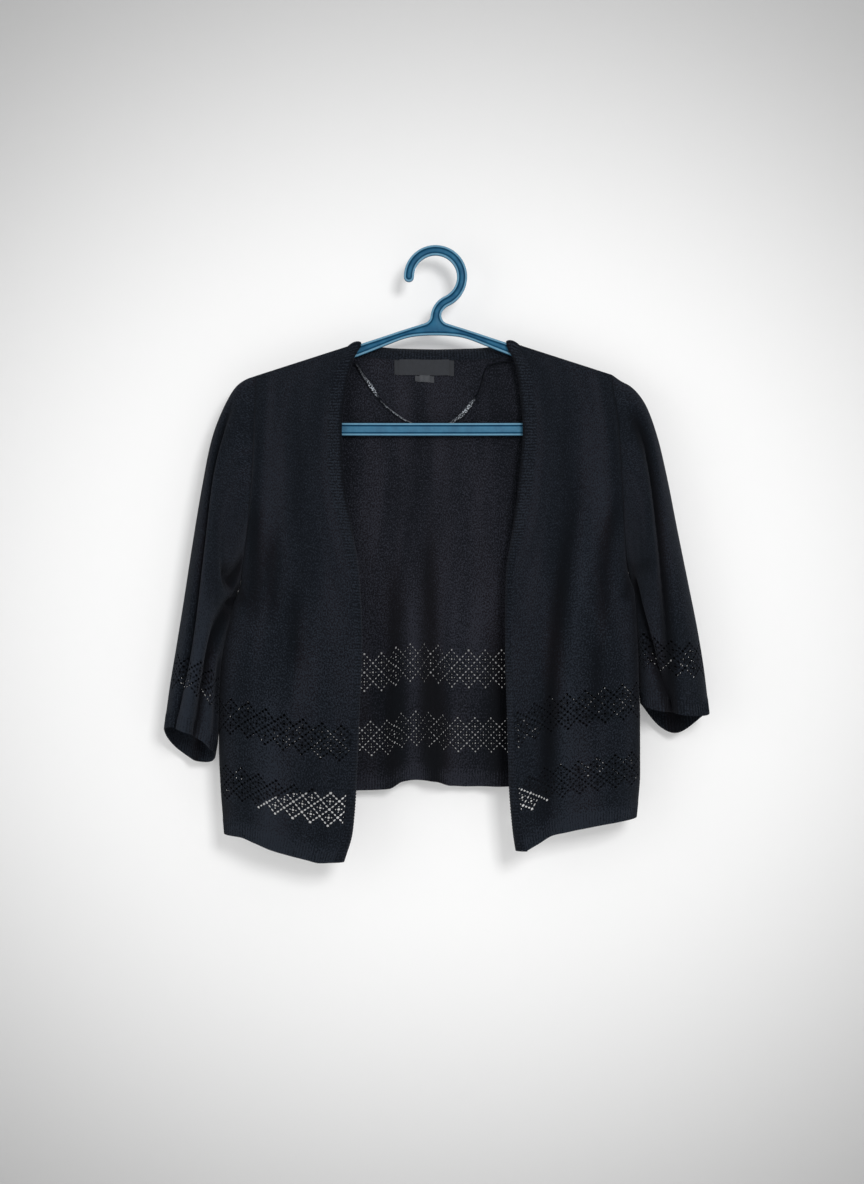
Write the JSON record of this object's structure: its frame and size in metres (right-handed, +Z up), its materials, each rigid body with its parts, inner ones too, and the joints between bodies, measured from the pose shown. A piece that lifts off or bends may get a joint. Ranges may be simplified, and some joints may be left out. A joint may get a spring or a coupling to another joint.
{
  "type": "cardigan on hanger",
  "caption": "Open-front cropped fine-knit cardigan with lace bands and elbow sleeves, hanging from a moulded plastic hanger.",
  "frame": {"origin": "the top of the inside of the hanger's hook, where a rail or nail carries the hanger", "axes": "+Z up along the hanger's stem, +Y away from the open front, through the hanger's thickness, +X towards the wearer's left sleeve"},
  "size_m": [0.5885, 0.0569, 0.6633],
  "materials": {
    "knit": "matt fine knit, black navy",
    "rib_knit": "matt rib knit, black navy",
    "label_cloth": "smooth woven label, charcoal",
    "satin_ribbon": "satin tape, near black",
    "blue_plastic": "slightly glossy moulded plastic, blue"
  },
  "bodies": {
    "root": {"back": "knit", "front_left": "knit", "front_right": "knit", "sleeve_left": "knit", "sleeve_right": "knit", "neck_band": "rib_knit", "neck_label": "label_cloth", "care_tab": "label_cloth", "hanging_ribbon": "satin_ribbon", "hanger": "blue_plastic"}
  },
  "joints": []
}
